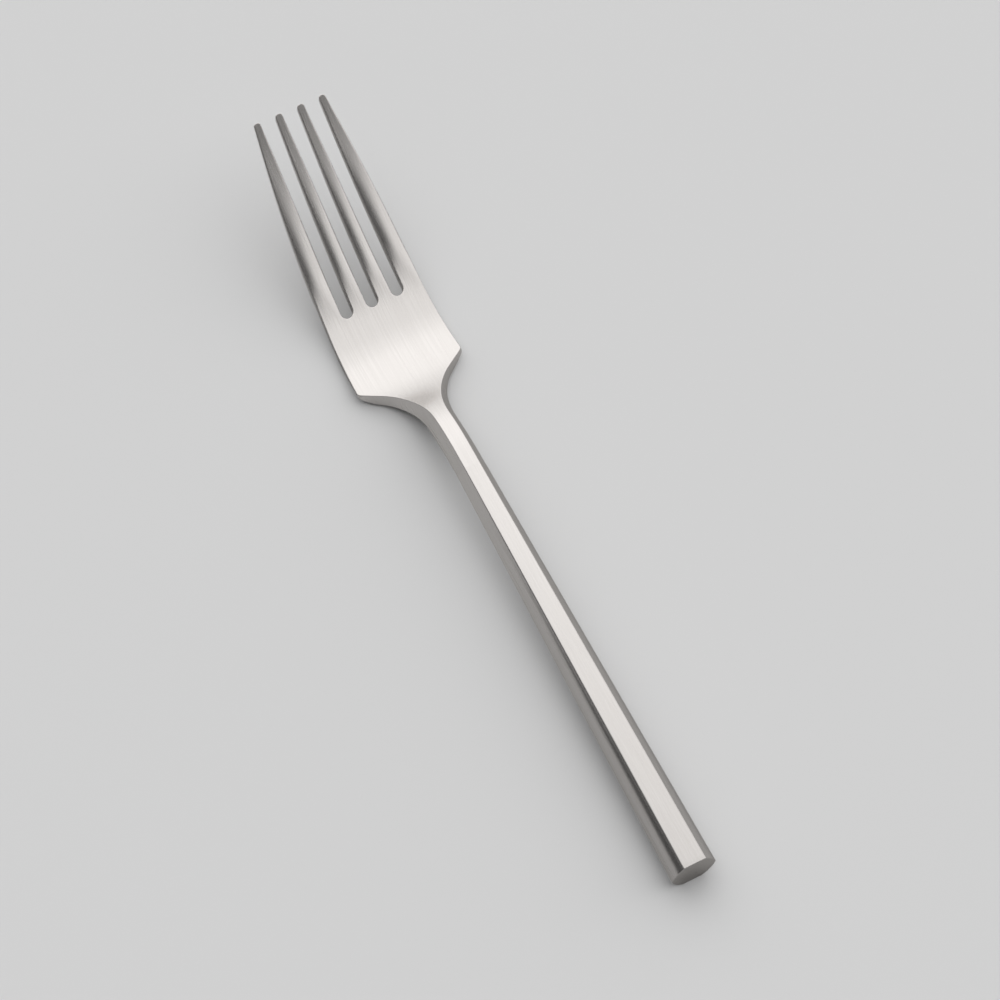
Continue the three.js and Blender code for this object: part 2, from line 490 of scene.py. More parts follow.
@dataclass
class ForkHead:
    """Tines, palm, shoulders and neck in one forging, with the tang behind. Sizes in millimetres.

    The outer walls have two slopes that meet at a waist: the neck's waist carries on the handle's side
    corners, and the palm's is low down, so that only a bevel is left under it.

    Attributes:
        outer_bow, slot_bow: How far a tine's outer side and a slot's sides bow, at half their length.
        blend: Spread of the running mean that eases the top's arcs into one another.
        belly_land: Length of the flat under the belly.
        neck_waist, palm_waist, tine_waist, corner_waist: Height of the waist as a share of the thickness.
        flare_power, waist_power: How fast the neck's hexagon fades into the palm, in width and in height.
        shoulder_lean: How far the shoulders' walls lean out at their foot.
        palm_bevel, bevel_lead: How far the underside is drawn in at the palm's edges, and how far before
            the slots' ends that starts to fade.
        tine_flare, flare_run: How far the underside is let out at the tines' edges, and the run over which
            that starts.
        tine_run: Run from the slots' ends over which the palm's edges turn into the tines'.
        corner_bevel, corner_reach: How far the underside is drawn in at a shoulder's corner, and how far
            behind and ahead of the corner this is felt.
        foot_power: How close to the edges the underside's shape is felt.
        rounding_lead: How far before the slots' ends the edges start to get rounder.
        tip_run, tip_end, tip_rounding: Runs before the tips between which the edges get fine, and the
            share of their radius where that starts.
        crown, crown_run, crown_fade: Drop of a tine's edges as a share of its half width, and the runs from
            the slots' ends over which it grows and fades.
        edge_gap, full_width: Gap between an edge's fillet and the next row of points, and the width of a
            strip under which the gap shrinks.
        knee_rows: Rows of points near the waist, as shares of the way to it, which keep the slopes flat.
    """

    sizes: ForkSizes
    # Outline from above
    head_width: float = 24.6
    root_width: float = 23.1
    tip_span: float = 16.6
    outer_bow: float = 0.68
    tine_length: float = 40.0
    tip_corner: float = 0.5
    shoulder_setback: float = 56.2
    shoulder_angle: float = float(np.radians(32.7))
    shoulder_fillet: float = 13.5
    shoulder_corner: float = 0.8
    # Slots between the tines
    slot_root_width: float = 2.7
    slot_tip_width: float = 3.56
    slot_bow: float = 0.2
    slot_root_pitch: float = 5.95
    slot_tip_pitch: float = 5.1
    # Curve and thickness from the side
    tine_angle: float = float(np.radians(25))
    tine_radius: float = 400.0
    blend: float = 1.5
    root_thickness: float = 1.8
    tip_thickness: float = 1.05
    belly_land: float = 6.0
    # Outer walls and underside
    neck_waist: float = 0.5
    palm_waist: float = 0.15
    tine_waist: float = 0.4
    corner_waist: float = 0.8
    flare_power: float = 1.5
    waist_power: float = 3.0
    shoulder_lean: float = 0.6
    palm_bevel: float = 0.5
    bevel_lead: float = 4.0
    tine_flare: float = 0.03
    flare_run: float = 6.0
    tine_run: float = 8.0
    corner_bevel: float = 1.3
    corner_reach: Pair = (1.6, 5.0)
    foot_power: int = 6
    # Rounded edges and crowned tines
    palm_edge_radius: float = 0.17
    tine_edge_radius: float = 0.32
    tip_edge_radius: float = 0.1
    under_radius: float = 0.08
    rounding_lead: float = 2.0
    tip_run: float = 3.0
    tip_end: float = 0.4
    tip_rounding: float = 0.75
    crown: float = 0.19
    crown_run: float = 11.0
    crown_fade: Pair = (10.0, 34.0)
    # Tang
    tang_length: float = 18.0
    tang_root_width: float = 2.1
    tang_tip_width: float = 1.5
    tang_overlap: float = 1.0
    # Rows of points across
    fillet_steps: int = 7
    inner_rows: int = 9
    edge_gap: float = 0.18
    full_width: float = 1.4
    knee_rows: tuple[float, ...] = (0.82, 0.93)

    # The slots' places from +Y to -Y, in pitches, and the strips that they part
    SLOTS = (1, 0, -1)
    STRIPS = len(SLOTS) + 1
    # Running mean over the top: its step, and its reach in spreads
    MEAN_STEP = 0.05
    MEAN_REACH = 4
    # Sections: spacings, runs round the shoulders' corners, and places round the slots' ends
    PLAIN_STEP = 0.7
    FILLET_STEP = 0.4
    CORNER_STEP = 0.12
    TINE_STEP = 0.6
    FILLET_RUN = 15.8
    CORNER_RUN = 1.8
    BEFORE_SLOTS = (1.2, 0.8, 0.5, 0.34, 0.24, 0.17, 0.1, 0.05, 0.02)
    AFTER_ARC = 0.4
    TURN_STEPS = 13

    @property
    def root_x(self) -> float:
        """Place where the slots end."""
        return self.sizes.tip_x - self.tine_length

    @property
    def slot_radius(self) -> float:
        """Radius of a slot's round end."""
        return self.slot_root_width / 2

    @property
    def arc_x(self) -> float:
        """Place of the centre of a slot's round end."""
        return self.root_x + self.slot_radius

    @property
    def corner_x(self) -> float:
        """Place of the shoulders' corners."""
        return self.sizes.tip_x - self.shoulder_setback

    @property
    def neck_half(self) -> float:
        """Half the width of the neck's top face."""
        return self.sizes.mouth_side / 2

    def arcs(self, x: Array) -> Array:
        """Arcs of the top face: level neck, arc down, arc up through the palm, wide arc along the tines.

        Args:
            x: Places along the fork.

        Returns:
            Height at each place.
        """
        s = self.sizes
        tine_x = s.belly_x + s.palm_radius * np.sin(self.tine_angle)
        tine_z = s.palm_thickness + s.palm_radius * (1 - np.cos(self.tine_angle))
        arcs = (
            (s.bend_x, s.bend_x, s.neck_height - s.neck_radius, s.neck_radius, 1),
            (s.ramp_x, s.belly_x, s.palm_thickness + s.palm_radius, s.palm_radius, -1),
            (tine_x, tine_x - self.tine_radius * np.sin(self.tine_angle),
             tine_z + self.tine_radius * np.cos(self.tine_angle), self.tine_radius, -1),
        )
        height = np.full_like(x, s.neck_height)
        for start, centre_x, centre_z, radius, side in arcs:
            rise = np.sqrt(np.maximum(radius**2 - (x - centre_x) ** 2, 0))
            height = np.where(x >= start, centre_z + side * rise, height)
        return height

    def top(self, x: Array) -> tuple[Array, Array]:
        """Top face along the middle: the arcs, blended into one another by a bell-shaped running mean.

        Args:
            x: Places along the fork.

        Returns:
            Height, and cosine of the slope.
        """
        step, reach = self.MEAN_STEP, self.MEAN_REACH * self.blend
        places = np.arange(self.sizes.mouth_x - 2 * reach, self.sizes.tip_x + 2 * reach, step)
        offsets = np.arange(-reach, reach + step, step)
        bell = np.exp(-0.5 * (offsets / self.blend) ** 2)
        smooth = np.convolve(self.arcs(places), bell / bell.sum(), "same")
        height = np.interp(x, places, smooth)
        slope = np.interp(x, places, np.gradient(smooth, step))
        return height, 1 / np.hypot(1, slope)

    def underside(self, x: Array) -> Array:
        """Underside: eased down from the mouth, flat under the belly, then one thickness off the top.

        Args:
            x: Places along the fork.

        Returns:
            Height at each place.
        """
        s = self.sizes
        height, cosine = self.top(x)
        mouth_bottom = s.neck_height - s.mouth_across_flats
        land_x = s.belly_x - self.belly_land
        thickness = np.interp(
            x, [s.belly_x, self.root_x, s.tip_x], [s.palm_thickness, self.root_thickness, self.tip_thickness])
        eased = mouth_bottom * (1 - smoothstep(s.mouth_x, land_x, x))
        return np.where(x < s.belly_x, eased, height - thickness / cosine)

    def half_width(self, x: Array) -> Array:
        """Outline of the top: neck, round fillet, straight shoulder, rounded corner, side, bowed tine.

        Args:
            x: Places along the fork.

        Returns:
            Half the width at each place.
        """
        radius = self.shoulder_fillet
        fillet_y = self.neck_half + radius
        fillet_x = (self.corner_x - (self.head_width / 2 - fillet_y) * np.tan(self.shoulder_angle)
                    - radius / np.cos(self.shoulder_angle))
        fillet_end = fillet_x + radius * np.cos(self.shoulder_angle)
        arc = fillet_y - np.sqrt(np.maximum(radius**2 - (np.minimum(x, fillet_end) - fillet_x) ** 2, 0))
        shoulder = self.head_width / 2 - (self.corner_x - x) / np.tan(self.shoulder_angle)
        share = (x - self.corner_x) / (self.root_x - self.corner_x)
        side = (self.head_width + (self.root_width - self.head_width) * share) / 2
        along = np.clip((x - self.root_x) / self.tine_length, 0, 1)
        tine = (self.root_width + (self.tip_span - self.root_width) * along) / 2
        tine = tine + self.outer_bow * 4 * along * (1 - along)
        inner = np.where(x < fillet_x, self.neck_half, np.where(x < fillet_end, arc, shoulder))
        outer = np.where(x < self.root_x, side, tine)
        return smooth_min(inner, outer, self.shoulder_corner)

    def slot_line(self, place: int, x: Array) -> Array:
        """Middle of a slot, carried back through the palm and neck at a fixed share of the width.

        Args:
            place: The slot's place, in pitches.
            x: Places along the fork.

        Returns:
            Y at each place.
        """
        along = np.clip((x - self.arc_x) / (self.sizes.tip_x - self.arc_x), 0, 1)
        pitch = self.slot_root_pitch + (self.slot_tip_pitch - self.slot_root_pitch) * along
        share = np.minimum(self.half_width(np.minimum(x, self.root_x)) / (self.root_width / 2), 1)
        return place * pitch * share

    def slot_half(self, x: Array) -> Array:
        """Sides of a slot: a half circle at the root, then a slightly bowed taper to the tips.

        Args:
            x: Places along the fork.

        Returns:
            Half the slot's width at each place, 0 before the root.
        """
        along = (x - self.arc_x) / (self.sizes.tip_x - self.arc_x)
        straight = self.slot_radius + (self.slot_tip_width - self.slot_root_width) / 2 * along
        arc = np.sqrt(np.maximum(self.slot_radius**2 - (x - self.arc_x) ** 2, 0))
        bowed = straight - self.slot_bow * 4 * along * (1 - along)
        return np.where(x < self.arc_x, np.where(x < self.root_x, 0, arc), bowed)

    def stations(self) -> Array:
        """Sets out the sections: close together at the shoulders, the slots' ends and the tips.

        Returns:
            Places along X, in order.
        """
        s = self.sizes
        turn = np.linspace(0, np.pi / 2, self.TURN_STEPS)
        fillet_x = self.corner_x - self.FILLET_RUN
        near_x, far_x = self.corner_x - self.CORNER_RUN, self.corner_x + self.CORNER_RUN
        return np.unique(np.round(np.concatenate([
            np.arange(s.mouth_x, fillet_x, self.PLAIN_STEP),
            np.arange(fillet_x, near_x, self.FILLET_STEP),
            np.arange(near_x, far_x, self.CORNER_STEP),
            np.arange(far_x, self.root_x - self.BEFORE_SLOTS[0], self.PLAIN_STEP),
            self.root_x - np.array(self.BEFORE_SLOTS),
            self.arc_x - self.slot_radius * np.cos(turn),
            np.arange(self.arc_x + self.AFTER_ARC, s.tip_x - self.tip_corner, self.TINE_STEP),
            s.tip_x - self.tip_corner * (1 - np.sin(turn[::2])),
            [s.tip_x],
        ]), 6))

    def spread(self, x: Array) -> Array:
        """How far the neck has widened into the palm, from 0 to 1."""
        share = (self.half_width(x) - self.neck_half) / (self.head_width / 2 - self.neck_half)
        return np.where(x < self.corner_x, np.clip(share, 0, 1), 1.0)

    def rounding(self, x: Array) -> Array:
        """Radius of the top edges: crisp on the palm, rounder along the tines and fine again at their tips.

        Args:
            x: Places along the fork.

        Returns:
            Radius at each place, straight between four given ones.
        """
        tip_x = self.sizes.tip_x
        late = self.tip_rounding * self.tine_edge_radius
        places = [self.root_x - self.rounding_lead, self.root_x + self.tine_run,
                  tip_x - self.tip_run, tip_x - self.tip_end]
        radii = [self.palm_edge_radius, self.tine_edge_radius, late, self.tip_edge_radius]
        return np.interp(x, places, radii)

    def outer_edge(self, x: Array) -> dict[str, Array]:
        """Everything that shapes the outer edge at x.

        Args:
            x: Places along the fork.

        Returns:
            Half widths and heights of the edge, waist and foot, the outline's cosine, the upper slope's
            lean, and the reach of the fillet on it.
        """
        height, _ = self.top(x)
        bottom = self.underside(x)
        half = self.half_width(x)
        cosine = 1 / np.hypot(1, np.gradient(half, x))
        spread = self.spread(x)
        lower_half = self.half_width(x + self.shoulder_lean)
        waist_half = lower_half + self.neck_half * (1 - spread) ** self.flare_power
        share = self.palm_waist + (self.neck_waist - self.palm_waist) * (1 - spread) ** self.waist_power
        share = share + (self.tine_waist - share) * smoothstep(self.root_x, self.root_x + self.tine_run, x)
        near = np.exp(-(((x - self.corner_x) / np.where(x < self.corner_x, *self.corner_reach)) ** 2))
        share = share + (self.corner_waist - share) * near
        waist = bottom + (height - bottom) * share
        lean = np.arctan2((waist_half - half) * cosine, height - waist)
        reach = self.rounding(x) * np.tan((np.pi / 2 - lean) / 2)
        tine = smoothstep(self.root_x - self.bevel_lead, self.root_x + self.tine_run, x)
        bevel = self.palm_bevel * spread * (1 - tine) - self.tine_flare * tine + self.corner_bevel * near
        return {
            "half": half, "cosine": cosine, "lean": lean, "reach": reach,
            "waist_half": waist_half, "waist": waist,
            "foot_half": lower_half - bevel, "bottom": bottom,
        }

    def strip(self, number: int, x: Array) -> tuple[Array, Array, Array]:
        """One of four strips from the neck to a tine's tip, as rows across it.

        The rows near an edge step round its fillet, and the rest are spread evenly. The top drops with the
        fillet by distance from the outline, and a tine's top is crowned as the square of the way to its edge.

        Args:
            number: 0 to 3, from +Y to -Y.
            x: Places of the sections.

        Returns:
            Y, top height and underside height, with a line for each place and a column for each row.
        """
        s = self.sizes
        first, last = number == 0, number == self.STRIPS - 1
        r = self.rounding(x)
        edge = self.outer_edge(x)
        rounded = self.tip_corner - np.sqrt(np.maximum(
            self.tip_corner**2 - np.maximum(x - (s.tip_x - self.tip_corner), 0) ** 2, 0))
        lines = [edge["half"], *(self.slot_line(place, x) for place in self.SLOTS), -edge["half"]]
        gap = self.slot_half(x)
        upper = lines[number] - (0 if first else gap)
        lower = lines[number + 1] + (0 if last else gap)
        squeeze = np.minimum(1, (upper - lower - 2 * rounded) / self.full_width)
        turn = np.linspace(1, 0, self.fillet_steps)

        def edge_rows(outer: bool) -> Array:
            """Rows round one edge, from the edge inwards.

            Args:
                outer: Whether it is the fork's outer edge, and not a slot's.

            Returns:
                Offsets from the edge, with a row for each place.
            """
            lean = edge["lean"] if outer else np.zeros_like(x)
            reach = edge["reach"] if outer else r
            cosine = edge["cosine"] if outer else np.ones_like(x)
            angle = (np.pi / 2 - lean)[:, None] * turn[None, :]
            offset = (reach[:, None] - r[:, None] * np.sin(angle)) / cosine[:, None]
            return np.concatenate([offset, offset[:, -1:] + self.edge_gap * squeeze[:, None]], axis=1)

        up = upper[:, None] - rounded[:, None] - edge_rows(first)
        down = lower[:, None] + rounded[:, None] + edge_rows(last)
        share = np.linspace(0, 1, self.inner_rows + 2)[1:-1][None, :]
        middle = up[:, -1:] + (down[:, -1:] - up[:, -1:]) * share
        y = np.concatenate([up, middle, down[:, ::-1]], axis=1)

        sides = []
        for line, outer, sign in ((lines[number], first, 1), (lines[number + 1], last, -1)):
            if outer:
                inside = (line[:, None] - y) * sign * edge["cosine"][:, None]
                sides.append(inside + (r - edge["reach"])[:, None])
            else:
                across = np.abs(y - line[:, None])
                arc = np.hypot(across, (x - self.arc_x)[:, None]) - self.slot_radius
                sides.append(np.where(x[:, None] < self.arc_x, arc, across - gap[:, None]))
        side = np.minimum(*sides)
        ahead = (s.tip_x - x)[:, None]
        corner = np.hypot(np.maximum(self.tip_corner - side, 0), np.maximum(self.tip_corner - ahead, 0))
        inside = np.where(ahead < self.tip_corner, self.tip_corner - corner, side)

        height, _ = self.top(x)
        centre, half = (upper + lower) / 2, (upper - lower) / 2
        fade = [self.root_x + run for run in self.crown_fade]
        rise = smoothstep(self.root_x, self.root_x + self.crown_run, x) * (1 - smoothstep(*fade, x))
        strength = self.crown * half * rise
        crown = strength[:, None] * ((y - centre[:, None]) / half[:, None]) ** 2
        ball = r[:, None]
        drop = ball - np.sqrt(np.maximum(ball**2 - np.clip(ball - inside, 0, ball) ** 2, 0))
        lift = np.clip(self.under_radius - inside, 0, self.under_radius)
        lift = self.under_radius - np.sqrt(np.maximum(self.under_radius**2 - lift**2, 0))
        bottom = np.broadcast_to(edge["bottom"][:, None], y.shape)
        return y, height[:, None] - crown - drop, bottom + lift

    def foot(self, number: int, x: Array, y: Array) -> Array:
        """Moves a strip's rows on the underside, by a high power of the way to the edge.

        The outer edges move to the foot of the walls, and the tines' edges at the slots flare out.

        Args:
            number: The strip's number.
            x: Places of the sections.
            y: Y of the rows on top.

        Returns:
            Y of the rows on the underside.
        """
        edge = self.outer_edge(x)
        way = np.minimum(np.abs(y) / edge["half"][:, None], 1)
        bevel = np.sign(y) * (edge["half"] - edge["foot_half"])[:, None] * way**self.foot_power
        middle = (y[:, :1] + y[:, -1:]) / 2
        side = (y - middle) / (y[:, :1] - middle)
        inner = np.where(side > 0, number != 0, number != self.STRIPS - 1)
        flare = self.tine_flare * smoothstep(self.root_x, self.root_x + self.flare_run, x)[:, None]
        return y - bevel + inner * np.sign(side) * flare * np.minimum(np.abs(side), 1) ** self.foot_power

    def outer_wall(self, head: Array, waist: Array, base: Array) -> Array:
        """Wall between the outer edges of the top and the underside: two straight slopes with a soft knee.

        The knee is the mean of the waist, counted twice, and the rows next to it.

        Args:
            head: Points of the top's edge.
            waist: Points where the slopes would meet.
            base: Points of the underside's edge.

        Returns:
            Points (place, row, xyz), an odd number of rows with the knee in the middle.
        """
        above, below = ([rim + (waist - rim) * way for way in self.knee_rows] for rim in (head, base))
        knee = (above[-1] + below[-1] + 2 * waist) / 4
        return np.stack([head, *above, knee, *below[::-1], base], axis=1)

    def surface(self) -> tuple[Array, Faces]:
        """Builds the head's closed surface: top and underside grids, with walls between their edges.

        Returns:
            Points in millimetres and faces.
        """
        x = self.stations()
        edge = self.outer_edge(x)
        slotted = x >= self.root_x
        points: list[Array] = []
        quads: list[Array] = []

        def put(grid: Array, turned: bool) -> None:
            """Adds a grid and its quads.

            Args:
                grid: Points (place, row, xyz).
                turned: Whether the quads are turned over.
            """
            start = sum(len(block) for block in points)
            faces = quads_of_grid(grid.shape[0], grid.shape[1], start)
            points.append(grid.reshape(-1, 3))
            quads.append(faces[:, ::-1] if turned else faces)

        for number in range(self.STRIPS):
            y, top, under = self.strip(number, x)
            across = np.broadcast_to(x[:, None], y.shape)
            upper = np.stack([across, y, top], axis=-1)
            lower = np.stack([across, self.foot(number, x, y), under], axis=-1)
            put(upper, True)
            put(lower, False)
            for column, sign, outer in ((0, 1, number == 0), (-1, -1, number == self.STRIPS - 1)):
                head, base = upper[:, column], lower[:, column]
                turned = sign < 0
                if not outer:
                    put(np.stack([head, base], axis=1)[slotted], turned)
                    continue
                waist = np.stack([x, sign * edge["waist_half"], edge["waist"]], axis=-1)
                wall = self.outer_wall(head, waist, base)
                put(wall, turned)
                # A fan round the knee closes the wall's section at the mouth and at the tip
                for section, ahead in ((wall[0], False), (wall[-1], True)):
                    knees = np.broadcast_to(section[len(section) // 2], section.shape)
                    put(np.stack([section, knees]), ahead == turned)
                    put(np.stack([section[[0, -1]], knees[:2]]), ahead != turned)
            put(np.stack([upper[-1], lower[-1]]), True)
            put(np.stack([upper[0], lower[0]]), False)
        bar, bar_quads = self.tang()
        quads.append(bar_quads + sum(len(block) for block in points))
        points.append(bar)
        return welded(np.concatenate(points), np.concatenate(quads))

    def tang(self) -> tuple[Array, Array]:
        """Square bar along the handle's centre line, tapered from inside the neck to the tang's tip.

        Returns:
            Points in millimetres and quads.
        """
        s = self.sizes
        x = np.array([s.mouth_x - self.tang_length, s.mouth_x + self.tang_overlap])
        half = np.array([[self.tang_tip_width], [self.tang_root_width]]) / 2
        y = half * np.array([1, 1, -1, -1])
        z = s.handle_centre(x)[:, None] + half * np.array([-1, 1, 1, -1])
        bar = np.stack(np.broadcast_arrays(x[:, None], y, z), axis=-1).reshape(-1, 3)
        sides = quads_of_grid(2, 4, wrap=True)[:, ::-1]
        return bar, np.concatenate([sides, [[3, 2, 1, 0], [4, 5, 6, 7]]])

    def build(self, steel: bpy.types.Material) -> None:
        """Makes the head and dresses it."""
        dress(make_piece("head", *self.surface()), steel, Slot.HEAD, "fork_head")


@dataclass
class HandleCase:
    """Two pressed half shells that make the tapered hexagonal case. Sizes in millimetres.

    Facet k of the hexagon runs from the corner at 60k degrees round +X to the next one.

    Attributes:
        end_bulge, mouth_bulge: How far a side facet's middle stands proud at the handle's end and mouth.
        bulge_power: How the side facets swell towards the end.
        top_bulge: How far the top facet's middle stands proud.
        seam_corner: Radius of the corners at the seams.
        mouth_corner, end_corner: Radius of the other corners at the handle's mouth and end.
        end_lean: How far the foot of the handle's end stands behind its top.
        lean_run: Run from the end over which that fades out.
    """

    sizes: ForkSizes
    wall: float = 0.7
    cap_thickness: float = 1.6
    end_bulge: float = 0.4
    mouth_bulge: float = 0.02
    bulge_power: float = 0.9
    top_bulge: float = 0.02
    seam_corner: float = 0.16
    mouth_corner: float = 0.2
    end_corner: float = 0.7
    end_lean: float = 0.6
    lean_run: float = 20.0
    sections: int = 80
    facet_points: int = 9
    corner_points: int = 6

    TOP_FACET = 1
    BOTTOM_FACET = 4
    SEAM_CORNERS = (0, 3, 6)

    def bulge(self, x: Array, facet: int) -> Array:
        """Middle of a facet: the side facets swell towards the handle's end, as a power of the way to it.

        Args:
            x: Places along the handle.
            facet: The facet's number.

        Returns:
            How far the middle stands proud at each place.
        """
        flats = {self.TOP_FACET: self.top_bulge, self.BOTTOM_FACET: 0.0}
        if facet in flats:
            return np.full_like(x, flats[facet])
        way = 1 - self.sizes.along_handle(x)
        return self.mouth_bulge + (self.end_bulge - self.mouth_bulge) * way**self.bulge_power

    def corner(self, x: Array, number: int) -> Array:
        """Rounding of a corner: fine at the seams, else grown as the square root of the way to the end.

        Args:
            x: Places along the handle.
            number: The corner's number, 6 for the first one again.

        Returns:
            Radius at each place.
        """
        if number in self.SEAM_CORNERS:
            return np.full_like(x, self.seam_corner)
        way = np.clip(1 - self.sizes.along_handle(x), 0, 1)
        return self.mouth_corner + (self.end_corner - self.mouth_corner) * np.sqrt(way)

    def outline(self, x: Array) -> Array:
        """Rounded hexagon with slightly crowned facets, at each x.

        A facet's points lie on the chord plus a parabola, and each corner is a round arc.

        Args:
            x: Places along the handle.

        Returns:
            Points (place, point, yz).
        """
        side = self.sizes.handle_side(x)
        apothem = self.sizes.handle_apothem(x)
        share = np.linspace(-1, 1, self.facet_points)
        columns = []
        for facet in range(FACETS):
            normal = np.radians(60 * facet) + np.pi / 6
            tangent = np.array([-np.sin(normal), np.cos(normal)])
            outward = np.array([np.cos(normal), np.sin(normal)])
            r = self.corner(x, facet + 1)
            low = self.corner(x, facet) * np.tan(np.pi / 6) - side / 2
            high = side / 2 - r * np.tan(np.pi / 6)
            run = low[:, None] + (high - low)[:, None] * (share[None, :] + 1) / 2
            proud = self.bulge(x, facet)[:, None] * (1 - share[None, :] ** 2)
            flat = (apothem[:, None] + proud)[..., None] * outward + run[..., None] * tangent
            angle = normal + np.linspace(0, np.pi / 3, self.corner_points + 1)[1:-1]
            pivot = (apothem - r)[:, None] * outward + high[:, None] * tangent
            round_arc = np.stack([np.cos(angle), np.sin(angle)], axis=-1)[None]
            arc = pivot[:, None, :] + r[:, None, None] * round_arc
            columns += [flat, arc]
        loop = np.concatenate(columns, axis=1)
        loop[..., 1] += self.sizes.handle_centre(x)[:, None]
        return loop

    def drawn_in(self, x: Array, loop: Array, scale: Array) -> Array:
        """Scales outlines about the handle's centre line.

        Args:
            x: Places of the outlines.
            loop: Points (place, point, yz).
            scale: One scale for each place.

        Returns:
            The scaled points.
        """
        centre = np.stack([np.zeros_like(x), self.sizes.handle_centre(x)], axis=-1)[:, None, :]
        return centre + (loop - centre) * scale[:, None, None]

    def placed(self, x: Array, loop: Array) -> Array:
        """Sets outlines at their places and slants the handle's end.

        A point moves back by the lean times its way down from the top flat, and the lean fades out along
        the handle.

        Args:
            x: Places of the outlines.
            loop: Points (place, point, yz).

        Returns:
            Points (place, point, xyz).
        """
        y, z = loop[..., 0], loop[..., 1]
        half = self.sizes.handle_apothem(x)[:, None]
        down = (self.sizes.handle_centre(x)[:, None] + half - z) / (2 * half)
        fade = np.clip(1 - (x - self.sizes.end_x) / self.lean_run, 0, 1)[:, None]
        return np.stack([x[:, None] - self.end_lean * down * fade, y, z], axis=-1)

    def shell(self, side: Side) -> tuple[Array, Faces]:
        """Half of the case: its C-shaped section carried along X, with ring faces at both ends.

        Args:
            side: Which half.

        Returns:
            Points in millimetres and faces.
        """
        x = np.linspace(self.sizes.end_x + self.cap_thickness, self.sizes.mouth_x, self.sections)
        whole = self.outline(x)
        per_facet = whole.shape[1] // FACETS
        first = side.value * per_facet - self.corner_points // 2
        outer = np.roll(whole, -first, axis=1)[:, : FACETS // 2 * per_facet + 1]
        reach = self.sizes.handle_side(x)
        inner = self.drawn_in(x, outer, (reach - self.wall * 2 / np.sqrt(3)) / reach)
        grid = self.placed(x, np.concatenate([outer, inner[:, ::-1]], axis=1))
        count = grid.shape[1]
        sides = quads_of_grid(len(x), count, wrap=True)[:, ::-1]
        a = np.arange(count // 2 - 1)
        ring = np.stack([count - 1 - a, count - 2 - a, a + 1, a], axis=-1)
        last = ring[:, ::-1] + (len(x) - 1) * count
        return welded(grid.reshape(-1, 3), np.concatenate([sides, ring, last]))

    def build(self, steel: bpy.types.Material) -> None:
        """Makes both shells and dresses them."""
        dress(make_piece("upper_shell", *self.shell(Side.UPPER)), steel, Slot.HANDLE, "handle_upper_shell")
        dress(make_piece("lower_shell", *self.shell(Side.LOWER)), steel, Slot.HANDLE, "handle_lower_shell")


@dataclass
class EndCap:
    """Hexagonal plate that closes the case, with a spigot inside it. Sizes in millimetres.

    Attributes:
        case: The case that it closes.
        edge_gap: Gap between the plate's inner edge and the next ring, which keeps the edge crisp.
    """

    case: HandleCase
    spigot_length: float = 6.0
    spigot_clearance: float = 0.15
    edge_gap: float = 0.4
    rim_radius: float = 0.12
    rim_steps: int = 6

    def surface(self) -> tuple[Array, Faces]:
        """Rings from the spigot's tip over the plate and its rim to the end face, with a lid at each end.

        Returns:
            Points in millimetres and faces.
        """
        s = self.case.sizes
        cap_x = s.end_x + self.case.cap_thickness
        drawn = self.case.wall + self.spigot_clearance
        turn = np.linspace(0, np.pi / 2, self.rim_steps)
        x = np.concatenate([
            [cap_x + self.spigot_length, cap_x, cap_x, cap_x - self.edge_gap],
            s.end_x + self.rim_radius * (1 - np.sin(turn)),
        ])
        inset = np.concatenate([[drawn, drawn, 0, 0], self.rim_radius * (1 - np.cos(turn))])
        apothem = s.handle_apothem(x)
        loop = self.case.drawn_in(x, self.case.outline(x), (apothem - inset) / apothem)
        grid = self.case.placed(x, loop)
        points, faces = welded(grid.reshape(-1, 3), quads_of_grid(len(x), grid.shape[1], wrap=True))
        keys = {tuple(key): place for place, key in enumerate(np.round(points, WELD_DIGITS).tolist())}
        for ring in (grid[0], grid[-1, ::-1]):
            faces.append([keys[tuple(key)] for key in np.round(ring, WELD_DIGITS).tolist()])
        return points, faces

    def build(self, steel: bpy.types.Material) -> None:
        """Makes the cap and dresses it."""
        dress(make_piece("end_cap", *self.surface()), steel, Slot.CAP, "handle_end_cap")


class Filler:
    """Cement core of the handle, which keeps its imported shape."""

    def build(self, cement: bpy.types.Material) -> None:
        """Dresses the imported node.

        Args:
            cement: Its finish.
        """
        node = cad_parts["handle_filler"]
        node.data.materials.clear()
        node.data.materials.append(cement)
        LOG.info("%s: %d faces", node.name, len(node.data.polygons))


@dataclass(frozen=True)
class SoftLight:
    """A square soft box that looks at the middle of the fork. Metres and watts."""

    name: str
    place: Triple
    size: float
    power: float

    def build(self) -> None:
        """Adds the lamp."""
        lamp = bpy.data.lights.new(self.name, "AREA")
        lamp.shape = "SQUARE"
        lamp.size = self.size
        lamp.energy = self.power
        holder = bpy.data.objects.new(self.name, lamp)
        holder.location = self.place
        holder.rotation_euler = (-Vector(self.place)).to_track_quat("-Z", "Y").to_euler()
        bpy.context.scene.collection.objects.link(holder)


